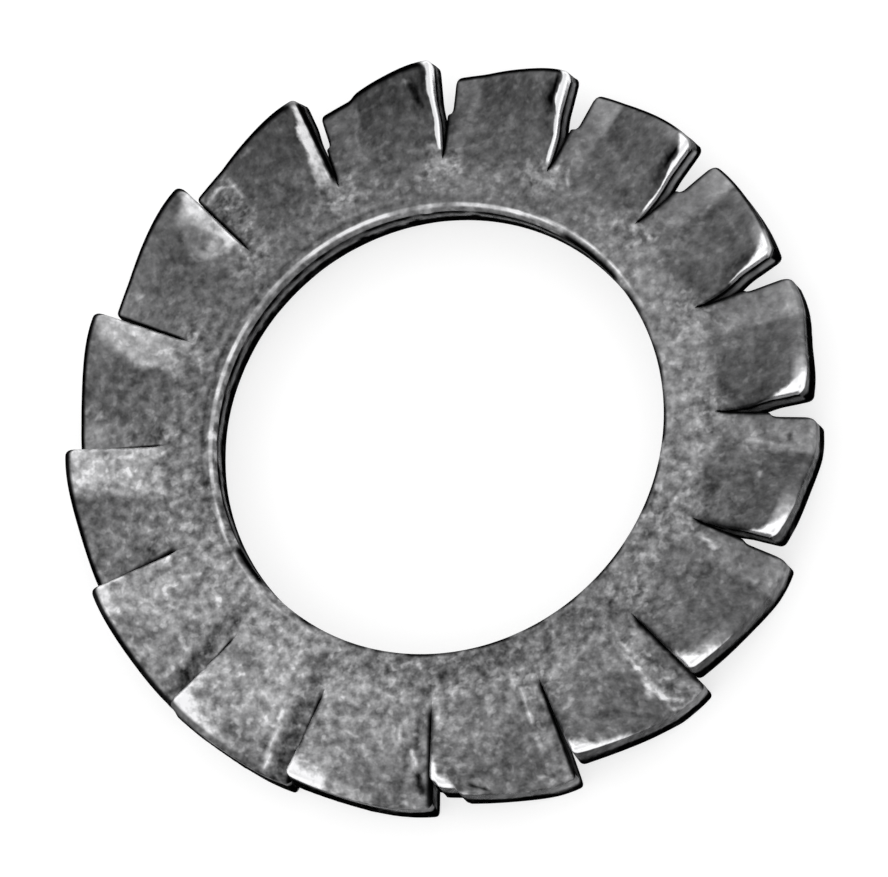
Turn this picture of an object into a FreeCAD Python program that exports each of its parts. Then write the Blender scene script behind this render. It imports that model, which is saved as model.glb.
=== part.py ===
# External-tooth lock washer, fan shape, for an M10 bolt.
#
# The washer is one piece of spring steel sheet.  A flat ring goes round the
# bolt, and its outside is sheared into sixteen teeth.  Each tooth is twisted
# about its own radial line: seen from above, its clockwise edge stands up and
# its anticlockwise edge hangs down, so both the bolt head and the work are
# bitten by an edge.
#
# Frame, in millimetres: the origin is at the centre of the bore, halfway
# through the flat ring; +Z is the bore's axis and points up.  The washer rests
# on the sixteen lowered tooth corners.

import FreeCAD, Part
import math
import os
import Sketcher

os.makedirs("parts", exist_ok=True)

doc = FreeCAD.newDocument("lock_washer_model")

# --------------------------------------------------------------------------
# Driving dimensions
# --------------------------------------------------------------------------
sheet = doc.addObject("Spreadsheet::Sheet", "Dimensions")
rows = [
    # alias, value, meaning
    ("bore_radius", "5.25", "inner radius, clear of a 10 mm bolt"),
    ("outer_radius", "8.90", "radius over the tooth tips"),
    ("ring_radius", "6.45", "radius at which the slits end"),
    ("plate_thickness", "0.90", "thickness of the steel sheet"),
    ("tooth_count", "16", "number of teeth"),
    ("slit_root", "0.04", "gap between two teeth at the slit's inner end"),
    ("slit_tip", "0.28", "gap between two teeth at the tips"),
    ("rim_round", "0.15", "rounding of the bore's upper edge, left by the punch"),
    ("raised_edge", "0.64", "rise of the clockwise edge at the tip, over the ring"),
    ("raised_knee", "0.36", "rise halfway towards the clockwise edge"),
    ("lowered_knee", "0.42", "drop halfway towards the anticlockwise edge"),
    ("lowered_edge", "0.54", "drop of the anticlockwise edge at the tip, under the ring"),
    ("knee_ratio", "0.50", "place of each knee, as a share of the half width"),
    ("root_overlap", "0.55", "length of tooth that lies inside the ring"),
    ("bend_length", "0.65", "radial length over which the twist starts"),
    ("bend_ratio", "0.60", "share of the even twist reached at its end"),
    ("tip_allowance", "0.20", "extra length of the blank tooth, trimmed off to the round"),
    ("trim_depth", "6.00", "depth of the ring that trims the tips"),
    ("trim_width", "2.00", "radial width of the ring that trims the tips"),
]
for i, (alias, value, meaning) in enumerate(rows, start=1):
    sheet.set("A%d" % i, alias)
    sheet.set("B%d" % i, value)
    sheet.set("C%d" % i, meaning)
    sheet.setAlias("B%d" % i, alias)
doc.recompute()

body = doc.addObject("PartDesign::Body", "LockWasher")
body.Label = "lock_washer"


def origin_feature(role):
    for feature in body.Origin.OriginFeatures:
        if feature.Role == role:
            return feature
    raise RuntimeError("no origin feature " + role)


def new_sketch(name, plane):
    sketch = body.newObject("Sketcher::SketchObject", name)
    sketch.AttachmentSupport = (origin_feature(plane), [""])
    sketch.MapMode = "FlatFace"
    return sketch


def bind(sketch, constraint, expression):
    index = sketch.addConstraint(constraint)
    sketch.setExpression("Constraints[%d]" % index, expression)
    return index


def vec(x, y):
    return FreeCAD.Vector(x, y, 0)


# --------------------------------------------------------------------------
# The flat ring: a section turned once round the bore's axis.  The upper inner
# edge is rounded, where the punch went in.
# --------------------------------------------------------------------------
ring_sketch = new_sketch("RingSection", "XZ_Plane")
rb, rr, hp, er = 5.25, 6.45, 0.45, 0.15
g_low = ring_sketch.addGeometry(Part.LineSegment(vec(rb, -hp), vec(rr, -hp)), False)
g_out = ring_sketch.addGeometry(Part.LineSegment(vec(rr, -hp), vec(rr, hp)), False)
g_top = ring_sketch.addGeometry(Part.LineSegment(vec(rr, hp), vec(rb + er, hp)), False)
g_arc = ring_sketch.addGeometry(
    Part.ArcOfCircle(Part.Circle(vec(rb + er, hp - er), FreeCAD.Vector(0, 0, 1), er),
                     math.pi / 2, math.pi), False)
g_in = ring_sketch.addGeometry(Part.LineSegment(vec(rb, hp - er), vec(rb, -hp)), False)
for first, p, second, q in [(g_low, 2, g_out, 1), (g_out, 2, g_top, 1), (g_in, 2, g_low, 1)]:
    ring_sketch.addConstraint(Sketcher.Constraint("Coincident", first, p, second, q))
ring_sketch.addConstraint(Sketcher.Constraint("Tangent", g_top, 2, g_arc, 1))
ring_sketch.addConstraint(Sketcher.Constraint("Tangent", g_arc, 2, g_in, 1))
ring_sketch.addConstraint(Sketcher.Constraint("Horizontal", g_low))
ring_sketch.addConstraint(Sketcher.Constraint("Vertical", g_out))
ring_sketch.addConstraint(Sketcher.Constraint("Horizontal", g_top))
ring_sketch.addConstraint(Sketcher.Constraint("Vertical", g_in))
bind(ring_sketch, Sketcher.Constraint("Radius", g_arc, er), "Dimensions.rim_round")
bind(ring_sketch, Sketcher.Constraint("DistanceX", -1, 1, g_low, 1, rb), "Dimensions.bore_radius")
bind(ring_sketch, Sketcher.Constraint("DistanceX", -1, 1, g_low, 2, rr), "Dimensions.ring_radius")
bind(ring_sketch, Sketcher.Constraint("DistanceY", g_low, 1, -1, 1, hp),
     "Dimensions.plate_thickness / 2")
bind(ring_sketch, Sketcher.Constraint("DistanceY", -1, 1, g_top, 1, hp),
     "Dimensions.plate_thickness / 2")
doc.recompute()

ring = body.newObject("PartDesign::Revolution", "Ring")
ring.Profile = ring_sketch
ring.ReferenceAxis = (origin_feature("Z_Axis"), [""])
ring.Angle = 360.0
ring_sketch.Visibility = False
doc.recompute()

# --------------------------------------------------------------------------
# One tooth along +X: a loft through upright sections.  The two flanks are
# upright and lie half a slit inside the tooth's two sector lines; the slit
# opens a little towards the tips.  The faces have two knees: the strip along
# the lowered edge is nearly level, the middle is steep, and the rise eases off
# towards the raised edge.
# --------------------------------------------------------------------------
HALF_ANGLE = "(180 deg / Dimensions.tooth_count)"
CORNER = "(Dimensions.outer_radius * cos(%s) - Dimensions.ring_radius)" % HALF_ANGLE


def slit(station):
    """Expression for the slit's width at a distance from the axis, past the
    ring."""
    return ("(Dimensions.slit_root + (Dimensions.slit_tip - Dimensions.slit_root) * "
            "((%s) - Dimensions.ring_radius) / "
            "(Dimensions.outer_radius - Dimensions.ring_radius))" % station)


def tooth_section(name, station, station_value, share, share_value, gap, gap_value):
    """A section at a distance from the axis.  station, share and gap are
    expressions: where it stands, how much of the tip's twist it has, and the
    width of the slit there."""
    sketch = new_sketch(name, "YZ_Plane")
    sketch.AttachmentOffset = FreeCAD.Placement(
        FreeCAD.Vector(0, 0, station_value), FreeCAD.Rotation())
    sketch.setExpression(".AttachmentOffset.Base.z", station)
    half = (station_value * math.tan(math.radians(11.25))
            - gap_value / 2 / math.cos(math.radians(11.25)))
    tops = [(-half, 0.64), (-half * 0.5, 0.36), (half * 0.5, -0.42), (half, -0.54)]
    tops = [(y, 0.45 + rise * share_value) for y, rise in tops]
    lows = [(y, z - 0.9) for y, z in tops]
    loop = tops + lows[::-1]
    lines = []
    for i in range(8):
        a, b = loop[i], loop[(i + 1) % 8]
        lines.append(sketch.addGeometry(Part.LineSegment(vec(*a), vec(*b)), False))
    for i in range(8):
        sketch.addConstraint(Sketcher.Constraint(
            "Coincident", lines[i], 2, lines[(i + 1) % 8], 1))
    # the lower points stand straight under the upper ones
    for up, low in [(0, 7), (1, 6), (2, 5), (3, 4)]:
        if up in (1, 2):
            sketch.addConstraint(Sketcher.Constraint(
                "Vertical", lines[low], 1, lines[up], 1))
        bind(sketch, Sketcher.Constraint("DistanceY", lines[low], 1, lines[up], 1, 0.9),
             "Dimensions.plate_thickness")
    sketch.addConstraint(Sketcher.Constraint("Vertical", lines[3]))
    sketch.addConstraint(Sketcher.Constraint("Vertical", lines[7]))
    width = "((%s) * tan(%s) - %s / 2 / cos(%s))" % (station, HALF_ANGLE, gap, HALF_ANGLE)
    bind(sketch, Sketcher.Constraint("DistanceX", lines[0], 1, -1, 1, half), width)
    bind(sketch, Sketcher.Constraint("DistanceX", -1, 1, lines[3], 1, half), width)
    bind(sketch, Sketcher.Constraint("DistanceX", lines[1], 1, -1, 1, half * 0.5),
         width + " * Dimensions.knee_ratio")
    bind(sketch, Sketcher.Constraint("DistanceX", -1, 1, lines[2], 1, half * 0.5),
         width + " * Dimensions.knee_ratio")
    # heights, measured up from the lower face of the ring
    for index, (alias, sign, rise) in enumerate([
            ("raised_edge", "+", 0.64), ("raised_knee", "+", 0.36),
            ("lowered_knee", "-", -0.42), ("lowered_edge", "-", -0.54)]):
        value = 0.45 + rise * share_value
        text = "Dimensions.plate_thickness / 2 %s Dimensions.%s * (%s)" % (sign, alias, share)
        if value > 0.0:
            bind(sketch, Sketcher.Constraint("DistanceY", -1, 1, lines[index], 1, value), text)
        else:
            bind(sketch, Sketcher.Constraint("DistanceY", lines[index], 1, -1, 1, -value),
                 "-1 * (%s)" % text)
    sketch.Visibility = False
    return sketch


corner = 8.90 * math.cos(math.radians(11.25)) - 6.45
# the flat part inside the ring, the slit's root, the end of the bend, and the
# blank tip beyond the finished outline
inner = tooth_section(
    "ToothInner", "Dimensions.ring_radius - Dimensions.root_overlap", 5.90, "0", 0.0,
    "Dimensions.slit_root", 0.04)
root = tooth_section("ToothRoot", "Dimensions.ring_radius", 6.45, "0", 0.0,
                     "Dimensions.slit_root", 0.04)
bend = tooth_section(
    "ToothBend", "Dimensions.ring_radius + Dimensions.bend_length", 7.10,
    "Dimensions.bend_ratio * Dimensions.bend_length / %s" % CORNER, 0.60 * 0.65 / corner,
    slit("Dimensions.ring_radius + Dimensions.bend_length"), 0.04 + 0.24 * 0.65 / 2.45)
# from the bend outwards the twist grows evenly, and reaches its full value at
# the finished corner
slope = ("(1 - Dimensions.bend_ratio * Dimensions.bend_length / %s) / "
         "(%s - Dimensions.bend_length)" % (CORNER, CORNER))
slope_value = (1 - 0.60 * 0.65 / corner) / (corner - 0.65)
tip = tooth_section(
    "ToothTip", "Dimensions.outer_radius + Dimensions.tip_allowance", 9.10,
    "1 + (%s) * (Dimensions.outer_radius + Dimensions.tip_allowance - "
    "Dimensions.ring_radius - %s)" % (slope, CORNER),
    1 + slope_value * (9.10 - 6.45 - corner),
    slit("Dimensions.outer_radius + Dimensions.tip_allowance"), 0.04 + 0.24 * 2.65 / 2.45)
doc.recompute()

tooth = body.newObject("PartDesign::AdditiveLoft", "Tooth")
tooth.Profile = inner
tooth.Sections = [root, bend, tip]
tooth.Ruled = True
tooth.Closed = False
doc.recompute()
one_tooth = body.Shape.Volume

teeth = body.newObject("PartDesign::PolarPattern", "Teeth")
teeth.Originals = [tooth]
teeth.Axis = (origin_feature("Z_Axis"), [""])
teeth.Angle = 360.0
teeth.Occurrences = 16
teeth.setExpression("Occurrences", "Dimensions.tooth_count")
body.Tip = teeth
doc.recompute()
blank_volume = body.Shape.Volume

# --------------------------------------------------------------------------
# The tips are trimmed to one circle, as the blank is punched out round.
# --------------------------------------------------------------------------
trim_sketch = new_sketch("TrimRing", "XY_Plane")
c_in = trim_sketch.addGeometry(Part.Circle(vec(0, 0), FreeCAD.Vector(0, 0, 1), 8.90), False)
c_out = trim_sketch.addGeometry(Part.Circle(vec(0, 0), FreeCAD.Vector(0, 0, 1), 10.90), False)
trim_sketch.addConstraint(Sketcher.Constraint("Coincident", c_in, 3, -1, 1))
trim_sketch.addConstraint(Sketcher.Constraint("Coincident", c_out, 3, -1, 1))
bind(trim_sketch, Sketcher.Constraint("Radius", c_in, 8.90), "Dimensions.outer_radius")
bind(trim_sketch, Sketcher.Constraint("Radius", c_out, 10.90),
     "Dimensions.outer_radius + Dimensions.trim_width")
trim_sketch.Visibility = False
doc.recompute()

trim = body.newObject("PartDesign::Pocket", "Trim")
trim.Profile = trim_sketch
trim.Midplane = True
trim.Length = 6.0
trim.setExpression("Length", "Dimensions.trim_depth")
body.Tip = trim
body.Placement = FreeCAD.Placement(FreeCAD.Vector(0, 0, 0), FreeCAD.Rotation())
doc.recompute()

# --------------------------------------------------------------------------
# Checks, then the file
# --------------------------------------------------------------------------
for item in doc.Objects:
    bad = [s for s in item.State if s in ("Invalid", "Error")]
    if bad:
        raise RuntimeError("%s is %s" % (item.Name, ", ".join(bad)))

shape = body.Shape
if shape.isNull() or not shape.isValid():
    raise RuntimeError("the washer's shape is not valid")
if len(shape.Solids) != 1:
    raise RuntimeError("the washer is %d solids, not one" % len(shape.Solids))
if not shape.Volume < blank_volume:
    raise RuntimeError("the tips were not trimmed")
if not blank_volume > one_tooth:
    raise RuntimeError("the teeth were not repeated round the ring")

box = shape.optimalBoundingBox(True, False)
print("lock_washer: volume %.2f mm3, mass %.3f g, box %.3f x %.3f x %.3f, z %.3f to %.3f" % (
    shape.Volume, shape.Volume * 7.85e-3, box.XLength, box.YLength, box.ZLength,
    box.ZMin, box.ZMax))
print("faces %d, edges %d, blank %.2f mm3, trimmed off %.2f mm3" % (
    len(shape.Faces), len(shape.Edges), blank_volume, blank_volume - shape.Volume))
for sketch in doc.Objects:
    if sketch.TypeId == "Sketcher::SketchObject":
        print("%s: solved %s, fully constrained %s" % (
            sketch.Name, sketch.solve() == 0, sketch.FullyConstrained))

shape.exportStep("parts/lock_washer.step")
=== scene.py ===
import math

import bpy
import numpy as np
from mathutils import Matrix, Vector


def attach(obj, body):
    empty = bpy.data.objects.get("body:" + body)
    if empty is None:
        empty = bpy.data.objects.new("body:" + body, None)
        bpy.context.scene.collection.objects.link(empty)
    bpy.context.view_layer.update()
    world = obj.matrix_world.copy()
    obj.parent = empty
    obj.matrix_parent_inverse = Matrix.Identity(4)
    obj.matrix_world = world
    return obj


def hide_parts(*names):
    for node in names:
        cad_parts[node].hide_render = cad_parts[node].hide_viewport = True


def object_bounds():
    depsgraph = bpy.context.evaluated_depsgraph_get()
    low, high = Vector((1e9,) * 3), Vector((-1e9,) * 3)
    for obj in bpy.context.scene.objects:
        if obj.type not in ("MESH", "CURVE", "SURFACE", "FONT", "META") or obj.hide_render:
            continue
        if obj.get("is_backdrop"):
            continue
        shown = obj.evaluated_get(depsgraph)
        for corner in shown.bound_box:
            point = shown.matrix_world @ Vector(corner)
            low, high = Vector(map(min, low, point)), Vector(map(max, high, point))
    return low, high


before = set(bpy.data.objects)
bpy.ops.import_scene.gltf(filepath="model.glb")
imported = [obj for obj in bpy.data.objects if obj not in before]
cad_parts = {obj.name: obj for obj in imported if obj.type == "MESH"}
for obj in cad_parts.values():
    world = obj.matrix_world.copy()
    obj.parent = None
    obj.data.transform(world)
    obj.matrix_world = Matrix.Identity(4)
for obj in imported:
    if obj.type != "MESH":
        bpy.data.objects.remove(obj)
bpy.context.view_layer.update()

# ----------------------------------------------------------------------------
# The washer, in millimetres until the mesh is written.
#
# It is a flat ring whose outside is sheared into sixteen teeth.  Each tooth is
# twisted about its own radial line: its clockwise edge, seen from above, stands
# up and its anticlockwise edge hangs down.  v runs across a tooth from -1, the
# lowered edge, to +1, the raised one.  A strip along the lowered edge stays
# nearly level, and a fold parts it from the steep middle.
# ----------------------------------------------------------------------------
TEETH = 16
HALF = math.radians(180.0 / TEETH)
R_BORE, R_ROOT, PLATE = 5.25, 6.45, 0.90
TOP = PLATE / 2
PROFILE = (0.0666, 0.0022, -0.3029, 0.1428, 0.8709, -0.05)   # rise over v, at the tip

# Small differences between the stamped teeth, clockwise from the one on +Y.
# Raised edge: degrees anticlockwise, mm of radius, mm of height.  Lowered edge:
# the same.  Then the radius of the middle, where the fold lies, and how sharp
# it is.
DIFFERENCES = [
    (0.10, 0.03, 0.00, -0.20, -0.04, -0.05, 0.00, -0.42, 1.00),
    (0.30, 0.05, 0.03, -0.06, -0.02, -0.02, 0.02, -0.56, 0.55),
    (0.00, 0.03, 0.00, -0.20, 0.03, 0.00, 0.02, -0.53, 0.60),
    (0.40, 0.00, 0.03, -0.03, 0.05, 0.00, 0.00, -0.55, 0.75),
    (0.15, 0.00, 0.01, 0.40, 0.01, 0.02, -0.07, -0.52, 0.80),
    (-0.15, -0.02, 0.01, 0.15, -0.04, 0.01, -0.07, -0.50, 0.70),
    (-1.00, 0.01, -0.02, 0.30, 0.00, -0.01, -0.02, -0.51, 0.40),
    (0.10, 0.03, 0.00, 0.62, 0.04, 0.00, 0.02, -0.45, 1.10),
    (0.05, 0.00, -0.02, -0.19, 0.06, -0.01, 0.01, -0.58, 0.50),
    (0.00, 0.03, 0.02, -0.02, 0.00, 0.03, 0.02, -0.62, 0.60),
    (0.50, 0.04, -0.04, -0.25, 0.02, 0.02, 0.01, -0.52, 0.80),
    (0.43, 0.02, -0.02, 0.10, 0.03, 0.00, 0.01, -0.60, 0.15),
    (0.02, 0.00, -0.01, 0.00, 0.01, 0.00, -0.01, -0.50, 0.25),
    (0.24, 0.00, -0.02, 0.05, -0.02, 0.01, -0.01, -0.55, 0.25),
    (-0.60, -0.01, -0.03, 0.00, -0.04, 0.00, -0.01, -0.50, 0.35),
    (-0.50, 0.02, -0.01, 0.62, -0.05, -0.01, 0.00, -0.46, 0.80),
]

# Where each tooth is drawn bright along its raised edge, partly polish from
# handling and partly a painted highlight: the radius it starts from, its
# width there and at the tip, how far it spreads from the corner along the rim
# and along the edge, how soft its outline is, and how bright it is.
POLISH_AND_HIGHLIGHT = [
    (6.50, 0.11, 0.21, 0.75, 0.60, 0.45, 1.00),
    (6.44, 0.09, 0.19, 0.55, 0.60, 0.25, 1.00),
    (6.60, 0.05, 0.12, 1.00, 0.85, 0.35, 1.00),
    (7.30, 0.04, 0.10, 1.38, 1.00, 0.40, 1.00),
    (7.80, 0.02, 0.06, 1.15, 0.95, 0.45, 1.00),
    (8.05, 0.02, 0.04, 1.20, 0.78, 0.50, 1.00),
    (8.10, 0.02, 0.04, 1.35, 0.70, 0.70, 0.95),
    (8.30, 0.02, 0.04, 2.55, 0.50, 0.80, 0.88),
    (8.10, 0.02, 0.05, 1.30, 0.95, 0.55, 0.88),
    (8.20, 0.02, 0.05, 2.60, 0.85, 0.70, 0.72),
    (8.20, 0.02, 0.05, 2.30, 1.35, 0.85, 0.70),
    (8.30, 0.02, 0.05, 1.80, 1.10, 0.85, 0.68),
    (8.20, 0.03, 0.05, 0.90, 0.60, 0.80, 0.40),
    (7.20, 0.04, 0.07, 0.80, 0.60, 0.60, 0.45),
    (6.60, 0.34, 0.28, 0.60, 1.20, 0.40, 0.54),
    (6.30, 0.42, 0.27, 0.75, 0.90, 0.35, 0.80),
]

# Marks on the upper face: tooth, where one begins and ends (v, radius), half
# width in mm, depth in mm, and how much lighter it is.
MARKS = [
    (0, 0.60, 8.30, 0.74, 7.70, 0.09, 0.030, -0.16),
    (0, 0.52, 8.36, 0.60, 8.30, 0.06, 0.000, 0.18),
    (0, -0.40, 8.25, -0.50, 7.15, 0.05, 0.000, 0.08),
    (0, -0.10, 6.72, -0.08, 6.74, 0.06, 0.000, 0.16),
    (0, 0.60, 5.30, 0.72, 5.30, 0.09, 0.060, 0.10),
    (1, 0.95, 7.65, 0.99, 7.60, 0.07, -0.020, 0.30),
    (1, 0.06, 8.25, 0.08, 8.27, 0.05, 0.000, 0.12),
    (1, 0.34, 7.94, 0.36, 7.92, 0.05, 0.000, 0.12),
    (1, -0.62, 8.45, -0.60, 8.35, 0.06, 0.010, -0.10),
    (2, -0.66, 6.64, -0.60, 6.50, 0.05, -0.008, 0.22),
    (2, -0.60, 6.50, -0.50, 6.34, 0.05, -0.008, 0.22),
    (3, -0.74, 6.55, -0.64, 6.42, 0.05, -0.008, 0.24),
    (3, -0.64, 6.42, -0.52, 6.52, 0.05, -0.008, 0.24),
    (3, -0.35, 6.95, -0.20, 7.02, 0.06, 0.015, -0.10),
    (3, -0.46, 7.95, -0.40, 7.70, 0.05, 0.000, 0.12),
    (4, 0.93, 8.15, 0.97, 8.60, 0.06, 0.000, 0.35),
    (4, -0.60, 8.42, -0.52, 8.36, 0.07, 0.000, 0.10),
    (5, -0.72, 8.12, -0.64, 8.16, 0.06, 0.030, -0.24),
    (5, -0.53, 7.16, -0.54, 7.75, 0.05, -0.006, 0.14),
    (5, -0.54, 7.75, -0.52, 8.20, 0.05, -0.006, 0.12),
    (5, 0.01, 7.66, 0.03, 7.68, 0.06, -0.008, 0.26),
    (6, -0.79, 6.76, -0.72, 7.20, 0.06, -0.012, 0.34),
    (6, -0.41, 7.02, -0.36, 7.14, 0.05, -0.008, 0.18),
    (6, -0.36, 7.10, -0.30, 7.06, 0.05, 0.025, -0.16),
    (6, -0.55, 8.40, -0.50, 8.38, 0.05, 0.025, -0.20),
    (6, -0.52, 8.30, -0.49, 8.30, 0.05, 0.000, 0.18),
    (7, -0.53, 6.86, -0.45, 7.50, 0.05, -0.012, 0.34),
    (7, -0.45, 7.50, -0.42, 7.95, 0.06, -0.014, 0.34),
    (7, -0.42, 7.95, -0.48, 8.33, 0.07, -0.016, 0.40),
    (7, -0.39, 8.06, -0.35, 8.15, 0.12, -0.016, 0.34),
    (7, -0.48, 8.33, -0.64, 8.62, 0.05, -0.012, 0.32),
    (7, -0.72, 8.11, -0.80, 8.40, 0.05, -0.010, 0.22),
    (7, -0.60, 8.02, -0.72, 8.11, 0.05, -0.010, 0.20),
    (7, -0.66, 7.30, -0.70, 7.60, 0.06, 0.020, -0.14),
    (7, -0.74, 8.26, -0.86, 8.10, 0.06, 0.020, -0.18),
    (7, 0.04, 6.97, 0.06, 6.98, 0.06, -0.008, 0.34),
    (7, 0.25, 6.60, 0.33, 6.54, 0.06, -0.004, 0.18),
    (8, -0.66, 6.55, -0.65, 7.15, 0.05, -0.010, 0.30),
    (8, -0.65, 7.15, -0.60, 7.60, 0.04, -0.006, 0.20),
    (8, -0.64, 7.61, -0.66, 7.84, 0.05, -0.008, 0.22),
    (8, -0.50, 8.56, -0.64, 8.48, 0.05, -0.030, 0.26),
    (8, -0.64, 8.48, -0.72, 8.60, 0.05, 0.030, -0.16),
    (8, 0.33, 8.40, 0.16, 8.60, 0.06, -0.030, 0.18),
    (8, 0.42, 8.50, 0.24, 8.62, 0.04, 0.030, -0.20),
    (9, -0.90, 6.10, -0.92, 6.80, 0.20, 0.010, -0.12),
    (9, -0.76, 6.80, -0.74, 7.35, 0.08, 0.030, -0.14),
    (9, -0.68, 7.45, -0.76, 7.75, 0.06, -0.014, 0.36),
    (9, -0.80, 8.00, -0.87, 8.35, 0.10, 0.035, -0.28),
    (9, -0.43, 7.36, -0.48, 6.95, 0.05, -0.012, 0.26),
    (9, -0.60, 7.70, -0.54, 7.40, 0.04, 0.020, -0.16),
    (9, -0.63, 8.60, -0.62, 8.58, 0.06, -0.010, 0.26),
    (10, -0.72, 5.95, -0.86, 8.50, 0.34, 0.020, -0.17),
    (10, -0.93, 7.92, -0.93, 7.96, 0.07, 0.030, -0.30),
    (10, -0.46, 7.30, -0.56, 8.30, 0.05, -0.014, 0.26),
    (10, -0.56, 8.30, -0.60, 8.62, 0.08, -0.014, 0.36),
    (11, -0.70, 5.90, -0.84, 8.20, 0.28, 0.015, -0.15),
    (11, -0.36, 6.95, -0.40, 7.75, 0.24, 0.010, -0.14),
    (12, -0.72, 7.05, -0.86, 7.30, 0.16, 0.010, -0.10),
    (12, 0.40, 7.89, 0.37, 7.46, 0.05, 0.020, -0.18),
    (12, -0.06, 7.42, 0.04, 7.36, 0.07, 0.018, -0.12),
    (13, -0.86, 5.33, -0.80, 5.33, 0.10, -0.040, 0.34),
    (13, -0.46, 8.20, -0.44, 8.15, 0.06, -0.010, 0.26),
    (13, -0.70, 7.40, -0.78, 7.25, 0.12, 0.010, -0.08),
    (14, 0.52, 7.24, 0.56, 7.30, 0.06, 0.018, -0.12),
    (14, 0.50, 7.95, 0.40, 7.86, 0.05, 0.014, -0.12),
    (14, -0.62, 8.20, -0.60, 8.15, 0.06, 0.000, 0.16),
    (15, -0.95, 8.28, -0.64, 8.34, 0.05, -0.008, 0.22),
    (15, -0.49, 8.35, -0.47, 7.65, 0.05, -0.010, 0.24),
    (15, -0.64, 8.34, -0.46, 8.02, 0.05, -0.008, 0.20),
    (15, -0.78, 7.80, -0.72, 7.64, 0.07, -0.008, 0.24),
    (15, -0.50, 7.50, -0.46, 7.10, 0.04, -0.006, 0.14),
    (15, -0.07, 8.46, 0.04, 8.40, 0.04, 0.000, 0.14),
]


def smooth(x):
    x = np.clip(x, 0.0, 1.0)
    return x * x * (3 - 2 * x)


def softplus(x, width):
    return width * np.logaddexp(0.0, x / width)


class Noise:
    """Smooth noise in the plane, the same on every run."""

    def __init__(self, seed):
        self.grid = np.random.default_rng(seed).uniform(-1, 1, (64, 64))

    def __call__(self, x, y, scale):
        x, y = x * scale, y * scale
        xi, yi = np.floor(x).astype(int), np.floor(y).astype(int)
        fx, fy = x - xi, y - yi
        fx, fy = fx * fx * (3 - 2 * fx), fy * fy * (3 - 2 * fy)
        g = self.grid
        a = g[yi % 64, xi % 64] * (1 - fx) + g[yi % 64, (xi + 1) % 64] * fx
        b = g[(yi + 1) % 64, xi % 64] * (1 - fx) + g[(yi + 1) % 64, (xi + 1) % 64] * fx
        return a * (1 - fy) + b * fy


# Rows from the bore outwards, and columns across a tooth.  Both lie close
# together where an edge is rounded.
ring_rows = np.concatenate([
    R_BORE + np.array([0, 0.006, 0.022, 0.048, 0.084, 0.128, 0.175, 0.235]),
    np.linspace(5.56, R_ROOT, 12)])
J_ROOT = len(ring_rows) - 1
tooth_rows = np.concatenate([
    np.linspace(0, 0.50, 13)[1:], [0.540, 0.552, 0.564, 0.577, 0.592, 0.612, 0.640],
    np.linspace(0.640, 0.905, 8)[1:],
    1 - np.array([0.076, 0.060, 0.046, 0.034, 0.023, 0.014, 0.007, 0.002, 0.0])])
NR = J_ROOT + len(tooth_rows)
edge_mm = np.array([0, 0.008, 0.026, 0.054, 0.090, 0.134, 0.185, 0.24, 0.31])
WIDE = 1.62
inner = np.linspace(-1 + 0.39 / WIDE, 1 - 0.39 / WIDE, 27)
columns = np.concatenate([-1 + edge_mm / WIDE, inner, (1 - edge_mm / WIDE)[::-1]])
NV = len(columns) - 1
WALL = np.array([0, 0.06, 0.16, 0.30, 0.46, 0.62, 0.78, 0.90, 0.97, 1.0])
NW = len(WALL) - 1


def roll(distance, radius):
    """How far a rounded edge has dropped at a distance from the edge."""
    inside = np.clip(radius - distance, 0, None)
    return radius - np.sqrt(np.clip(radius ** 2 - inside ** 2, 0, None))


def height(i, share, v):
    """The upper face of tooth i over the ring's, before its edges are rounded.
    share is 0 where the bend starts and 1 at the tip."""
    raised, lowered, fold, sharp = (DIFFERENCES[i][k] for k in (2, 5, 7, 8))
    s = np.polyval(PROFILE, np.clip(v, -1, 1))
    s = s + raised * smooth(v) + lowered * smooth(-v)
    kink = softplus(v - fold, 0.018) - softplus(v - fold, 0.16)
    s = s + 0.55 * sharp * kink
    s = s - 0.55 * sharp * (softplus(-fold, 0.018) - softplus(-fold, 0.16))
    return np.clip(share, 0, None) ** 1.35 * s


def tip_radius(i, v, upper):
    """Radius of the outer edge, of the upper or the lower face."""
    raised, lowered, middle = (DIFFERENCES[i][k] for k in (1, 4, 6))
    if upper:
        tip = 8.718 - 0.020 * v - 0.02 * v ** 2 - 0.050 * v ** 4
        rounding = (0.17, 0.12)
    else:
        tip = 8.736 + 0.008 * v - 0.01 * v ** 2 - 0.020 * v ** 4
        rounding = (0.13, 0.10)
    tip = tip + raised * smooth(v) + lowered * smooth(-v) + middle * smooth(1 - np.abs(v) * 1.3)
    if i == 0:      # a step in this tooth's outer edge
        tip = tip - 0.10 * smooth((-0.36 - v) / 0.16)
    if i == 8:      # a chipped corner
        tip = tip - 0.15 * smooth((v - 0.55) / 0.10) - 0.12 * smooth((v - 0.84) / 0.08)
    return tip - roll((1 - v) * WIDE, rounding[0]) - roll((1 + v) * WIDE, rounding[1])


def mark_distance(V, R, v1, r1, v2, r2):
    """Distance in mm from the short line between two places on a tooth."""
    x, y = V * HALF * 7.6, R
    ax, ay, bx, by = v1 * HALF * 7.6, r1, v2 * HALF * 7.6, r2
    t = ((x - ax) * (bx - ax) + (y - ay) * (by - ay)) / ((bx - ax) ** 2 + (by - ay) ** 2)
    t = np.clip(t, 0, 1)
    return np.hypot(x - ax - t * (bx - ax), y - ay - t * (by - ay))


def lobe(angle, centre, width):
    """1 in one direction round the washer, dying away over width degrees."""
    off = (np.degrees(angle) - centre + 180) % 360 - 180
    return np.exp(-(off / width) ** 2)


broad, bumps, dents = Noise(5), Noise(11), Noise(23)
points = []
values = {"tone": [], "mottle": [], "band": [], "cut": [], "line": []}


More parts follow.
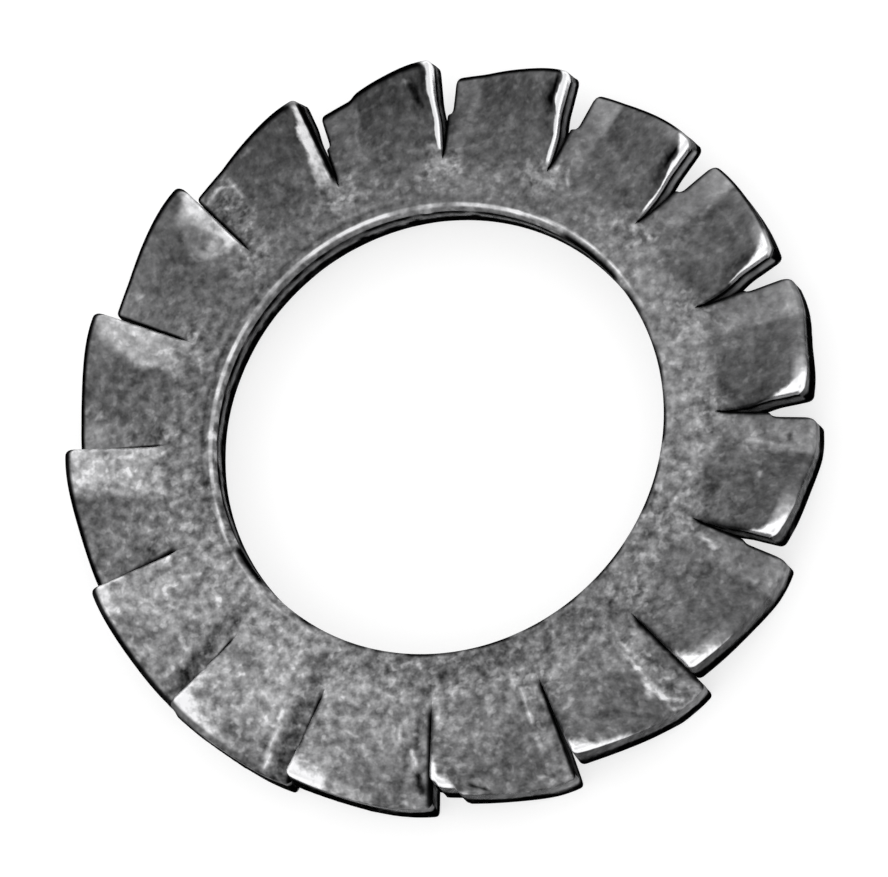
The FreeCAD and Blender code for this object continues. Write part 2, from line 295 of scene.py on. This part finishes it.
def add(xyz, **given):
    """Adds an array of points with their surface values, and returns their
    numbers in the same layout."""
    shape = xyz.shape[:-1]
    start = sum(len(p) for p in points)
    points.append(xyz.reshape(-1, 3))
    for name in values:
        values[name].append(np.broadcast_to(given.get(name, 0.0), shape).reshape(-1).astype(float))
    return start + np.arange(int(np.prod(shape))).reshape(shape)


upper, lower, flank_cw, flank_ccw, rim, bore = [], [], [], [], [], []
upper_xyz, lower_xyz, rim_tone = [], [], []
for i in range(TEETH):
    raised_turn, lowered_turn, fold = DIFFERENCES[i][0], DIFFERENCES[i][3], DIFFERENCES[i][7]
    centre = math.pi / 2 - i * 2 * HALF
    V = np.broadcast_to(columns, (NR + 1, NV + 1)).copy()
    row = np.concatenate([np.zeros(J_ROOT + 1), tooth_rows])[:, None]
    row = np.broadcast_to(row, V.shape)
    ring = np.concatenate([ring_rows, np.full(len(tooth_rows), R_ROOT)])[:, None]
    spots = []
    for face in (True, False):
        R = np.where(row > 0, R_ROOT + (tip_radius(i, V, face) - R_ROOT) * row, ring)
        # the slit is shut at its root and opens towards the tips; on one side of
        # the washer the lowered edge opens it from a rounded end
        even = 0.06 + 0.94 * row ** 1.25
        slow = 0.05 + 0.82 * smooth((row - 0.34) / 0.36) + 0.13 * row
        off = (np.degrees(centre - HALF * V) + 12.5 - 45 + 180) % 360 - 180
        end = 0.540 + 0.030 * smooth((-off - 25) / 20)
        quick = 0.04 + np.where(row < end, 0, np.sqrt(1 - np.clip(1 - (row - end) / 0.095, 0, 1) ** 2)
                                * (1.12 - 0.14 * smooth((row - 0.6) / 0.4))) + 0.02 * row
        open_here = 0.95 * smooth((78 - np.abs(off)) / 14)
        turn_cw = np.clip(V, 0, 1) * np.radians(0.72 + raised_turn) * (row > 0)
        turn_ccw = np.clip(-V, 0, 1) * np.radians(0.80 - lowered_turn) * (row > 0)
        more_cw, more_ccw = (slow - even) * open_here, (quick - even) * open_here
        A = centre - V * HALF + turn_cw * (even + more_cw) - turn_ccw * (even + more_ccw)
        if i == 15 and not face:    # this tooth's raised edge leans outwards
            A = A - np.clip(V, 0, 1) ** 3 * np.radians(0.45) * smooth((row - 0.55) / 0.25)
        # where a point really lies across the tooth, for its height
        across = V - (turn_cw * more_cw - turn_ccw * more_ccw) / HALF
        spots.append((R, A))
    (R, A), (RL, AL) = spots
    share = (R - 6.12) / (8.62 - 6.12)
    H = height(i, share, across)
    inside = smooth((R_ROOT - R) / 0.36)
    keep = np.where(row > 0, 1.0, 1 - np.abs(V) ** (26.0 * (1 - inside) + 2.0))
    H = H * keep

    X, Y = R * np.cos(A), R * np.sin(A)
    XL, YL = RL * np.cos(AL), RL * np.sin(AL)
    to_cw, to_ccw = (1 - V) * HALF * R, (1 + V) * HALF * R
    to_rim = R[-1:, :] - R
    out = smooth((R - R_ROOT) / (8.6 - R_ROOT))
    opened = smooth((R - R_ROOT - 0.01) / 0.30) * (row > 0)
    # rounded edges of the upper face
    cw_round = roll(to_cw / (0.13 + 0.10 * out), 1.0) * (0.13 + 0.08 * out) * opened
    rim_round = roll(to_rim, 0.16) * (row > 0)
    drop = np.sqrt(cw_round ** 2 + rim_round ** 2)
    drop = drop + roll(to_ccw, 0.06) * opened + roll(R - R_BORE, 0.15)
    Z = TOP + H - drop
    # the stamped faces are not quite flat
    calm = smooth((R - R_BORE) / 0.3) * smooth((to_rim + 0.02) / 0.25)
    uneven = (0.016 * broad(X, Y, 0.8) + 0.010 * bumps(X, Y, 1.6)
              + 0.005 * bumps(X + 9, Y, 3.4) + 0.003 * dents(X, Y, 7.0))
    Z = Z + uneven * calm
    ZL = (TOP + H - PLATE + 0.012 * dents(XL + 40, YL, 1.1) + 0.004 * bumps(XL, YL + 40, 5.0)
          + roll(np.minimum(to_cw, to_ccw), 0.05) * opened
          + roll(to_rim, 0.06) * (row > 0) + roll(R - R_BORE, 0.05))

    # how light the surface is drawn: the ring and the strips are lighter and the
    # middles of the teeth darker; lobes round the washer paint one side lighter all
    # over as painted light, and the raised parts on that side lighter still as
    # painted highlight
    where = A + math.radians(12.5)
    ring_tone = (118 + 24 * lobe(where, 15, 45) + 30 * lobe(where, 235, 38)
                 - 12 * lobe(where, 130, 45) - 9 * lobe(where, 50, 28)
                 + (38 * smooth((R - 5.6) / 0.8) - 22) * lobe(where, 275, 35)) / 246
    middle = (90 + 50 * lobe(where, 226, 34) + 14 * lobe(where, 292, 42)
              - 21 * lobe(where, 102, 26) - 10 * lobe(where, 352, 20)
              + (44 * lobe(where, 230, 34) + 14 * lobe(where, 292, 34)) * smooth((8.3 - R) / 0.9)) / 262
    strip = (118 - 22 * lobe(where, 98, 20) - 15 * lobe(where, 205, 28)
             - 12 * lobe(where, 150, 12) - 22 * lobe(where, 130, 42)) / 226
    raised = (84 + 90 * lobe(where, 190, 50) + 45 * lobe(where, 250, 32)
              + 10 * lobe(where, 305, 35) + 95 * lobe(where, 145, 16)
              + 20 * lobe(where, 170, 22) + 34 * lobe(where, 228, 34) * smooth((R - 8.0) / 0.4)) / 262
    begins = (0.84 - 0.40 * lobe(where, 176, 36) - 0.60 * lobe(where, 238, 28)
              - 0.24 * lobe(where, 202, 20) - 0.09 * lobe(where, 138, 11) * smooth((8.5 - R) / 0.4)
              + 0.30 * lobe(where, 149, 12) * smooth((R - 8.2) / 0.3))
    lit_side = lobe(where, 192, 52)
    wander = 0.16 * broad(X + 3, Y, 1.1) + 0.10 * bumps(X, Y + 5, 2.2)
    tone = middle + 0 * V
    on_strip = smooth((fold + 0.03 + 0.12 * lobe(where, 12, 48) - V + 0.25 * wander) / 0.08) * smooth((R - 6.6) / 0.5)
    tone = tone + (strip - tone) * on_strip
    on_raised = smooth((V - begins + 0.10 + wander - 0.20 * lobe(where, 190, 36) * (R - 7.9)) / 0.24)
    on_raised = on_raised * smooth((R - 6.25 - wander) / 0.40)
    tone = tone + (raised - tone) * on_raised
    roots = 6.42 + 0.45 * np.abs(V) ** 2.2 + 0.30 * lit_side * smooth(V) + 0.8 * wander
    on_ring = 1 - smooth((R - roots + 0.30) / 0.70)
    away = 1 - 0.8 * smooth((V + 0.3) / 0.5) * lobe(where, 12, 42)
    on_ring = np.maximum(on_ring, 0.52 * away * (1 - smooth((R - 6.65) / 1.65)))
    on_ring = on_ring * (1 - 0.85 * on_raised * lit_side)
    tone = tone + (ring_tone - tone) * on_ring
    # lighter patches round the roots of the slits
    root = np.exp(-((R - 6.35) / 0.42) ** 2) * smooth((np.abs(V) - 0.45) / 0.45)
    tone = tone + 0.13 * root * lobe(where, 100, 42) - 0.08 * lobe(where, 5, 45) * smooth((V - 0.1) / 0.4) * np.exp(-((R - 6.60) / 0.30) ** 2)
    tone = tone + smooth((R - 7.85) / 0.35) * (0.06 * lobe(where, 22, 34) + 0.08 * lobe(where, 162, 22) * (1 - on_raised))
    # painted highlight: the last of the upper face before the rim is a little lighter, more on some sides of the
    # washer
    by_rim = smooth(1.4 - np.abs(to_rim - 0.15) / 0.17) * (row > 0)
    tone = tone + by_rim * (0.07 * lobe(where, 25, 55) * smooth((V + 0.5) / 0.2) + 0.30 * smooth((V - 0.10) / 0.5) * lobe(where, -8, 46)
                            + 0.20 * smooth((V + 0.35) / 0.5) * lobe(where, 248, 22))
    mottle = 0.26 + 0.74 * lobe(where, 235, 58) + 0.10 * lobe(where, 320, 35)
    mottle = mottle + 0.80 * on_strip * lobe(where, 308, 18) + 0.25 * on_strip * lobe(where, 355, 16)
    mottle = mottle + 0.60 * on_strip * lobe(where, 133, 10)
    mottle = mottle + (0.32 + 0.28 * lobe(where, -15, 50)) * on_ring + (0.35 + 0.55 * lobe(where, 105, 45)) * root + 0.50 * on_raised * lit_side
    mottle = np.clip(mottle, 0, 1.1)
    for tooth, v1, r1, v2, r2, wide, deep, lighter in MARKS:
        if tooth == i:
            ragged = 0.35 if wide < 0.12 else 0.12
            d = mark_distance(V, R, v1, r1, v2, r2) * (1 + ragged * bumps(X * 3, Y * 3, 2.0))
            near = smooth(1.25 - d / wide)
            Z = Z - deep * near
            tone = tone + lighter * near

    # the raised edge and its corner: polish with a painted highlight
    start, thin, thick, along_rim, along_edge, soft, bright = POLISH_AND_HIGHLIGHT[i]
    half_band = (thin + (thick - thin) * smooth((R - 6.9) / 1.3)) * (1 + 0.4 * bumps(X * 2, Y * 2, 1.3))
    band = smooth((half_band - to_cw) / (0.06 + 0.40 * (1 - bright)) + 0.5) * smooth((R - start) / 0.3) * opened
    spread = (to_cw / along_rim) ** 0.56 + (np.maximum(to_rim, 0) / along_edge) ** 0.56
    corner = smooth((1.0 - spread + 0.3 * wander) / soft + 0.5) * (row > 0)
    corner = corner * (1 - 0.5 * smooth(to_cw / along_rim * 1.2))
    band = np.maximum(band, corner) * bright
    if i == 15:     # the edge itself is dark on this tooth
        inset = smooth(1.5 - to_cw / 0.07) * opened * smooth((8.6 - R) / 0.15)
        band = band * (1 - inset) * (1 - 0.28 * smooth((7.5 - R) / 0.5))
    # painted shade: dark lines drawn beside the bright band on the raised edge, mostly on one side of the washer
    shade = smooth(1.2 - np.abs(to_cw - half_band - 0.20) / 0.18) * smooth((R - 7.1) / 0.5) * smooth((8.6 - R) / 0.3)
    tone = tone - 0.15 * shade * lobe(where, 50, 40) * (1 - corner)
    painted_shade_beside_band = smooth(1.3 - np.abs(to_cw - half_band - 0.11) / 0.07) * smooth((R - 7.75) / 0.3) * smooth((8.66 - R) / 0.15)
    tone = tone - 0.28 * painted_shade_beside_band * lobe(where, 60, 30) * (1 - corner)
    # the edge of the bore, a painted highlight on one side
    lit = smooth((lobe(where, 135, 95) - 0.15) / 0.2)
    wall_seen = 1 - smooth((np.abs((np.degrees(where) - 132 + 180) % 360 - 180) - 58) / 20)
    painted_bore_highlight = smooth(1.2 - np.abs(R - R_BORE - 0.17 + 0.06 * wall_seen) / (0.06 + 0.02 * wall_seen)) * (R < 6) * lit
    tone = np.maximum(tone, painted_bore_highlight * (0.80 + 0.55 * wander + 0.22 * bumps(X * 2, Y * 2, 1.3)))
    # painted shade: a darker ring just outside the bore's highlight
    tone = tone - 0.12 * smooth(1 - np.abs(R - R_BORE - 0.29) / 0.09) * smooth(lobe(where, 160, 60) * 1.4 - 0.2 + 2 * wander)
    # the outline: a dark edge, painted shade drawn where the rim wall is turned from the camera, with dark lines
    # painted as shade along the lowered edges of the slits and round the bore
    seen = 1 - smooth((np.abs((np.degrees(where) + 47.7 + 180) % 360 - 180) - 55) / 45)
    line = smooth(2.0 - to_rim / (0.085 - 0.045 * lobe(where, 42, 32) + 0.035 * lobe(where, 108, 20))) * (row > 0) * (1 - seen)
    line = np.maximum(line, smooth(1.3 - to_ccw / (0.06 + 0.05 * lobe(where, 262, 30) + 0.035 * lobe(where, 55, 55) + 0.05 * lobe(where, 316, 12) + 0.07 * lobe(where, 204, 9))) * opened * (0.7 + 0.3 * lobe(where, 215, 90)))
    painted_bore_shade = smooth(1.5 - (R - R_BORE) / 0.085) * (R < 6) * np.clip(0.62 + 1.2 * bumps(X * 2, Y * 2, 1.1), 0, 1)
    line = np.maximum(line, painted_bore_shade * (1 - wall_seen))
    line = line * (1 - 0.9 * smooth(corner * 1.5) * smooth(3 * lobe(where, 82, 32) - 0.5))
    # painted shade: the raised edges are dark near the ring on the side towards the light
    painted_edge_shade = smooth(1.3 - to_cw / 0.13) * opened * smooth((8.1 - R) / 0.4)
    line = np.maximum(line, 0.42 * painted_edge_shade * np.clip(lobe(where, -15, 50) + lobe(where, 262, 25), 0, 1))
    if i == 15:
        line = np.maximum(line, inset)
    up = np.stack([X, Y, Z], -1)
    lo = np.stack([XL, YL, ZL], -1)
    upper_xyz.append(up)
    lower_xyz.append(lo)
    upper.append(add(up, tone=tone, mottle=mottle, band=band, line=line))
    rim_tone.append(tone[-1] + (0.36 - tone[-1]) * smooth((V[-1] - 0.05) / 0.5))
    under = 0.40 + 0.07 * on_ring + 0.04 * wander
    lower.append(add(lo, tone=under, mottle=0.55 + 0.3 * on_ring,
                     band=0.5 * smooth((0.12 - to_ccw) / 0.1) * opened))

# Neighbouring sectors share their border inside the ring.
for i in range(TEETH):
    n = (i + 1) % TEETH
    for grid in (upper, lower):
        grid[i][:J_ROOT + 1, NV] = grid[n][:J_ROOT + 1, 0]

wall_noise = Noise(37)


def wall(top_ids, low_ids, top, low, outward, rough, tone, first, torn_from):
    """A cut face between an edge of the upper face and the same edge of the
    lower one: the ids of its grid.  The part next to the upper face is smooth,
    where the punch sheared, and the rest is torn and black, partly its own
    finish and partly painted shade; first paints a dark line of shade along
    the upper edge."""
    t = WALL[None, :, None]
    xyz = top[:, None, :] * (1 - t) + low[:, None, :] * t
    torn = smooth((WALL[None, :] - 0.35) / 0.15) * smooth((1 - WALL[None, :]) / 0.04)
    n = wall_noise(xyz[..., 0] * 2 + xyz[..., 1] * 3, xyz[..., 2] * 1.5, 2.6) * 0.6 \
        + wall_noise(xyz[..., 0] * 3 - xyz[..., 1] * 2, xyz[..., 2] * 4, 4.3) * 0.4
    xyz = xyz + outward[:, None, :] * (n * torn * rough)[..., None]
    ids = np.zeros((len(top), NW + 1), int)
    ids[:, 0], ids[:, NW] = top_ids, low_ids
    t = WALL[None, 1:-1]
    dark = np.maximum(smooth(1.5 - t / 0.27) * np.clip(first, 0, 1), smooth((t - np.reshape(torn_from, (-1, 1))) / 0.10))
    grey = np.reshape(tone, (-1, 1)) * (1 - dark) + 0.05 * dark
    ids[:, 1:-1] = add(xyz[:, 1:-1], cut=1.0, tone=np.broadcast_to(grey, ids[:, 1:-1].shape), mottle=0.35)
    return ids


for i in range(TEETH):
    centre = math.pi / 2 - i * 2 * HALF
    rows = slice(J_ROOT, NR + 1)
    for side_sign, column, store in ((1, NV, flank_cw), (-1, 0, flank_ccw)):
        top, low = upper_xyz[i][rows, column], lower_xyz[i][rows, column]
        a = centre - side_sign * HALF - side_sign * math.pi / 2
        outward = np.broadcast_to(np.array([math.cos(a), math.sin(a), 0]), top.shape)
        fade = smooth(np.linspace(0, 1, len(top)) * 4)[:, None]
        at = a + side_sign * math.pi / 2 + math.radians(12.5)
        # painted light: the flanks are drawn lighter on one side of the washer, and their black torn part, painted
        # shade, starts higher on another
        store.append(wall(upper[i][rows, column], lower[i][rows, column], top, low,
                          outward * fade, 0.010, 0.30 + 0.46 * lobe(at, 42, 38), 1.0,
                          0.70 - 0.14 * lobe(at, 100, 40)))
    for j, store, rough in ((NR, rim, 0.016), (0, bore, 0.006)):
        top, low = upper_xyz[i][j], lower_xyz[i][j]
        outward = top * np.array([1, 1, 0]) / np.linalg.norm(top[:, :2], axis=1)[:, None]
        at = np.arctan2(top[:, 1], top[:, 0]) + math.radians(12.5)
        if j:
            tone, first = rim_tone[i], 0.0
            # painted shade: the rim wall is drawn black from higher up on some sides of the washer
            torn_from = 0.60 - 0.46 * lobe(at, 20, 26) - 0.48 * lobe(at, 250, 24) - 0.14 * lobe(at, 310, 11)
        else:
            uneven = wall_noise(top[:, 0] * 3, top[:, 1] * 3, 1.0)
            tone, first, torn_from = 0.46, 0.8 + 0.4 * uneven[:, None], 0.49 + 0.12 * uneven
        store.append(wall(upper[i][j], lower[i][j], top, low, outward, rough, tone, first, torn_from))
for i in range(TEETH):
    n = (i + 1) % TEETH
    flank_cw[i][0] = flank_ccw[n][0]          # the slit's root is one line
    rim[i][0, 1:-1] = flank_ccw[i][-1, 1:-1]
    rim[i][NV, 1:-1] = flank_cw[i][-1, 1:-1]
    bore[i][NV] = bore[n][0]


def quads(grid, flip):
    a, b, c, d = grid[:-1, :-1], grid[1:, :-1], grid[1:, 1:], grid[:-1, 1:]
    q = np.stack([a, b, c, d], -1).reshape(-1, 4)
    return q[:, ::-1] if flip else q


faces = []
for i in range(TEETH):
    faces.append(quads(upper[i], True))
    faces.append(quads(lower[i], False))
    faces.append(quads(flank_cw[i], True))
    faces.append(quads(flank_ccw[i], False))
    faces.append(quads(rim[i], False))
    faces.append(quads(bore[i], True))
faces = np.concatenate(faces)
co = np.concatenate(points)
used = np.unique(faces)
renumber = np.full(len(co), -1)
renumber[used] = np.arange(len(used))
co = co[used] * 0.001
faces = renumber[faces]

mesh = bpy.data.meshes.new("lock_washer_steel")
mesh.vertices.add(len(co))
mesh.vertices.foreach_set("co", co.astype(np.float32).ravel())
mesh.loops.add(faces.size)
mesh.loops.foreach_set("vertex_index", faces.astype(np.int32).ravel())
mesh.polygons.add(len(faces))
mesh.polygons.foreach_set("loop_start", np.arange(0, faces.size, 4, dtype=np.int32))
mesh.polygons.foreach_set("use_smooth", np.ones(len(faces), bool))
mesh.update(calc_edges=True)
for name, parts in values.items():
    field = mesh.attributes.new("w_" + name, "FLOAT", "POINT")
    field.data.foreach_set("value", np.concatenate(parts)[used].astype(np.float32))
mesh.set_sharp_from_angle(angle=math.radians(50))
washer = bpy.data.objects.new("washer_steel", mesh)
bpy.context.scene.collection.objects.link(washer)


# ----------------------------------------------------------------------------
# The steel
# ----------------------------------------------------------------------------
def steel():
    mat = bpy.data.materials.new("dark_spring_steel")
    mat.use_nodes = True
    tree = mat.node_tree
    nodes, links = tree.nodes, tree.links
    nodes.clear()

    def node(kind, **settings):
        n = nodes.new(kind)
        for key, value in settings.items():
            setattr(n, key, value)
        return n

    def calc(operation, *inputs, clamp=False):
        n = node("ShaderNodeMath", operation=operation, use_clamp=clamp)
        for socket, value in zip(n.inputs, inputs):
            if hasattr(value, "links"):
                links.new(value, socket)
            else:
                socket.default_value = value
        return n.outputs[0]

    def ramp(value, low, high, to_low=0.0, to_high=1.0):
        n = node("ShaderNodeMapRange", interpolation_type="SMOOTHSTEP")
        links.new(value, n.inputs["Value"])
        for name, number in (("From Min", low), ("From Max", high),
                             ("To Min", to_low), ("To Max", to_high)):
            n.inputs[name].default_value = number
        return n.outputs[0]

    def noise(scale, detail, roughness, shift=0.0):
        m = node("ShaderNodeMapping")
        m.inputs["Scale"].default_value = (1000, 1000, 1000)
        m.inputs["Location"].default_value = (shift, shift * 0.7, 0)
        links.new(place.outputs["Object"], m.inputs["Vector"])
        n = node("ShaderNodeTexNoise")
        n.inputs["Scale"].default_value = scale
        n.inputs["Detail"].default_value = detail
        n.inputs["Roughness"].default_value = roughness
        links.new(m.outputs[0], n.inputs["Vector"])
        return n.outputs["Fac"]

    def attribute(name):
        n = node("ShaderNodeAttribute", attribute_type="GEOMETRY", attribute_name=name)
        return n.outputs["Fac"]

    place = node("ShaderNodeTexCoord")
    tone, mottle = attribute("w_tone"), attribute("w_mottle")
    band, cut, line = attribute("w_band"), attribute("w_cut"), attribute("w_line")
    patch = noise(1.5, 2.0, 0.5, 5.0)
    grain = noise(4.4, 2.0, 0.5, 11.0)
    fine = noise(12.0, 1.0, 0.5, 17.0)
    specks = ramp(noise(5.6, 1.0, 0.4, 23.0), 0.56, 0.70)

    # mottling: grains of lighter and darker grey, in loose patches
    spread = calc("ADD", calc("MULTIPLY", calc("SUBTRACT", patch, 0.5), 0.30),
                  calc("MULTIPLY", calc("SUBTRACT", grain, 0.5), 0.75))
    spread = calc("ADD", spread, calc("MULTIPLY", calc("SUBTRACT", specks, 0.2), 0.12))
    spread = calc("ADD", spread, calc("MULTIPLY", calc("SUBTRACT", fine, 0.5), 0.16))
    grey = calc("ADD", tone, calc("MULTIPLY", spread, calc("ADD", calc("MULTIPLY", mottle, 0.85), 0.15)))
    # the raised edges: polish and a painted highlight, drawn near white and smoother
    blotchy = calc("ADD", band, calc("MULTIPLY", calc("SUBTRACT", grain, 0.5), 0.75))
    polish_and_highlight_weight = calc("MULTIPLY", ramp(blotchy, 0.18, 0.92), ramp(band, 0.0, 0.25))
    grey = calc("ADD", calc("MULTIPLY", grey, calc("SUBTRACT", 1.0, polish_and_highlight_weight)),
                calc("MULTIPLY", polish_and_highlight_weight, 1.02))
    # painted shade: the dark outlines and slit lines darken the grey
    grey = calc("MULTIPLY", grey, calc("SUBTRACT", 1.0, calc("MULTIPLY", line, 0.88)))
    grey = calc("MAXIMUM", grey, 0.05)
    albedo = calc("POWER", grey, 2.2)
    albedo = calc("MINIMUM", calc("MULTIPLY", albedo, 1.12), 0.97)
    colour = node("ShaderNodeCombineColor")
    links.new(albedo, colour.inputs[0])
    links.new(albedo, colour.inputs[1])
    links.new(calc("MULTIPLY", albedo, 1.015), colour.inputs[2])

    rough = calc("ADD", ramp(patch, 0.3, 0.7, 0.36, 0.46), calc("MULTIPLY", mottle, 0.12))
    rough = calc("ADD", rough, calc("MULTIPLY", cut, 0.15))
    rough = calc("SUBTRACT", rough, calc("MULTIPLY", polish_and_highlight_weight, 0.16), clamp=True)

    relief = calc("ADD", calc("MULTIPLY", patch, 0.7), calc("MULTIPLY", grain, 0.5))
    relief = calc("MULTIPLY", relief, calc("ADD", calc("MULTIPLY", mottle, 0.7), 0.3))
    relief = calc("ADD", relief, calc("MULTIPLY", fine, 0.10))
    bump = node("ShaderNodeBump")
    bump.inputs["Strength"].default_value = 0.5
    bump.inputs["Distance"].default_value = 0.00005
    links.new(relief, bump.inputs["Height"])

    shader = node("ShaderNodeBsdfPrincipled")
    shader.inputs["Specular IOR Level"].default_value = 0.35
    links.new(colour.outputs[0], shader.inputs["Base Color"])
    shader.inputs["Metallic"].default_value = 1.0
    shader.inputs["Specular Tint"].default_value = (0.12, 0.12, 0.12, 1)
    links.new(rough, shader.inputs["Roughness"])
    links.new(bump.outputs[0], shader.inputs["Normal"])
    result = node("ShaderNodeOutputMaterial")
    links.new(shader.outputs[0], result.inputs["Surface"])
    return mat


washer.data.materials.append(steel())
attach(washer, "root")
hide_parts("lock_washer")

# ----------------------------------------------------------------------------
# Floor, light and camera
# ----------------------------------------------------------------------------
floor_z = float(co[:, 2].min())
floor_mesh = bpy.data.meshes.new("floor")
s = 3.0
floor_mesh.from_pydata([(-s, -s, floor_z), (s, -s, floor_z), (s, s, floor_z), (-s, s, floor_z)],
                       [], [(0, 1, 2, 3)])
floor = bpy.data.objects.new("floor", floor_mesh)
bpy.context.scene.collection.objects.link(floor)
paper = bpy.data.materials.new("paper")
paper.use_nodes = True
p = paper.node_tree.nodes["Principled BSDF"]
p.inputs["Base Color"].default_value = (0.55, 0.55, 0.55, 1)
p.inputs["Roughness"].default_value = 1.0
p.inputs["Specular IOR Level"].default_value = 0.0
p.inputs["Emission Color"].default_value = (1, 1, 1, 1)
p.inputs["Emission Strength"].default_value = 0.62
floor_mesh.materials.append(paper)
floor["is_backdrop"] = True

world = bpy.data.worlds.new("studio")
bpy.context.scene.world = world
world.use_nodes = True
wt = world.node_tree
wt.nodes.clear()
coords = wt.nodes.new("ShaderNodeTexCoord")
split = wt.nodes.new("ShaderNodeSeparateXYZ")
wt.links.new(coords.outputs["Generated"], split.inputs[0])
tones = wt.nodes.new("ShaderNodeValToRGB")
tones.color_ramp.interpolation = "EASE"
stops = [(0.0, 0.55), (0.10, 0.75), (0.36, 0.98), (0.60, 0.92), (0.84, 0.66), (1.0, 0.60)]
while len(tones.color_ramp.elements) < len(stops):
    tones.color_ramp.elements.new(0.5)
for element, (position, value) in zip(tones.color_ramp.elements, stops):
    element.position = position
    element.color = (value, value, value, 1)
wt.links.new(split.outputs["Z"], tones.inputs["Fac"])
sky = wt.nodes.new("ShaderNodeBackground")
sky.inputs["Strength"].default_value = 1.25
wt.links.new(tones.outputs["Color"], sky.inputs["Color"])
world_out = wt.nodes.new("ShaderNodeOutputWorld")
wt.links.new(sky.outputs[0], world_out.inputs["Surface"])

# The camera leans a little off the washer's axis.  Angles are in the picture,
# anticlockwise from its right; the tooth on +X stands at TURN there.
SCALE, TILT, LEAN, NEAR, TURN = 44.12, math.radians(23.20), math.radians(-47.68), 0.0055, 12.46
OFFSET = (442.1 - 444.0, 438.5 - 434.5)
e = Vector((math.cos(TILT) * math.cos(LEAN), math.cos(TILT) * math.sin(LEAN), -math.sin(TILT)))
w = Vector((-math.sin(LEAN), math.cos(LEAN), 0))
right = e * math.cos(LEAN) - w * math.sin(LEAN)
up = e * math.sin(LEAN) + w * math.cos(LEAN)
back = Vector((math.sin(TILT) * math.cos(LEAN), math.sin(TILT) * math.sin(LEAN), math.cos(TILT)))
turn = Matrix.Rotation(-math.radians(TURN), 3, "Z")
right, up, back = turn @ right, turn @ up, turn @ back
distance = 1 / NEAR
spot = back * distance - right * (OFFSET[0] / SCALE) - up * (OFFSET[1] / SCALE)
camera_data = bpy.data.cameras.new("camera")
camera_data.sensor_width = 36.0
camera_data.lens = SCALE * distance * 36.0 / 888.0
camera_data.clip_start = 0.005
camera_data.clip_end = 20.0
camera = bpy.data.objects.new("camera", camera_data)
basis = Matrix((right, up, back)).transposed().to_4x4()
camera.matrix_world = Matrix.Translation(spot * 0.001) @ basis
bpy.context.scene.collection.objects.link(camera)
bpy.context.scene.camera = camera

view = bpy.context.scene.view_settings
view.view_transform = "Standard"
view.look = "None"

low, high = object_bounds()
